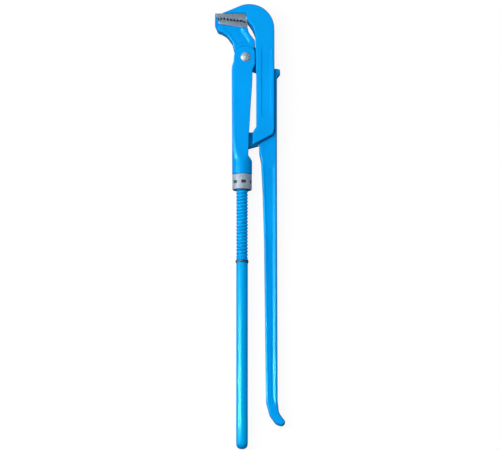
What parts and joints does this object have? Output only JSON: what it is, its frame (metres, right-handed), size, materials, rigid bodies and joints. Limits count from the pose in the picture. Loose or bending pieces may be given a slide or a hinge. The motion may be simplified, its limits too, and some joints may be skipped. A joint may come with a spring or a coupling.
{
  "type": "pipe wrench",
  "caption": "Lever-type pipe wrench with jaws at ninety degrees: toothed hook jaw on a screw handle, adjusted by a captive nut, closed by squeezing a long lever.",
  "frame": {"origin": "middle of the bounding box of the wrench lying on its back, at floor level", "axes": "+Y along the handles towards the jaws, +Z from the back of the wrench to its face, +X towards the long lever's side"},
  "size_m": [0.078, 0.4998, 0.0232],
  "materials": {
    "lever_paint": "blue enamel over a forging",
    "hook_paint": "blue enamel over a forging",
    "sheath_paint": "blue enamel, smooth",
    "screw_paint": "blue enamel over rolled thread and plain rod",
    "jaw_steel": "bare hardened steel, ground",
    "rivet_steel": "peened, bright",
    "pin_steel": "plain steel",
    "nut_zinc": "zinc plated, satin",
    "ring_steel": "spring steel wire",
    "ring_black": "blackened steel"
  },
  "bodies": {
    "lever": {"long_lever": "lever_paint", "lower_jaw_teeth": "jaw_steel", "pivot_rivet": "rivet_steel"},
    "sheath_body": {"sheath": "sheath_paint", "nut_retaining_ring": "ring_steel"},
    "hook": {"hook_jaw": "hook_paint", "upper_jaw_teeth": "jaw_steel", "screw_handle": "screw_paint", "link_pin": "pin_steel", "stop_ring": "ring_black"},
    "nut": {"adjusting_nut": "nut_zinc"}
  },
  "joints": [
    {"name": "grip_swing", "type": "hinge", "parent": "lever", "child": "sheath_body", "pos_m": [-0.00476, 0.18906, 0.0112], "axis": [0, 0, 1], "range_deg": [-18, 0]},
    {"name": "jaw_slide", "type": "slide", "parent": "sheath_body", "child": "hook", "axis": [0, 1, 0], "range_m": [0, 0.06]},
    {"name": "nut_spin", "type": "hinge", "parent": "sheath_body", "child": "nut", "pos_m": [-0.00856, 0.04906, 0.0112], "axis": [0, 1, 0], "continuous": true}
  ],
  "couplings": [
    {"joint": "nut_spin", "follows": "jaw_slide", "rad_per_m": -1675.5}
  ]
}
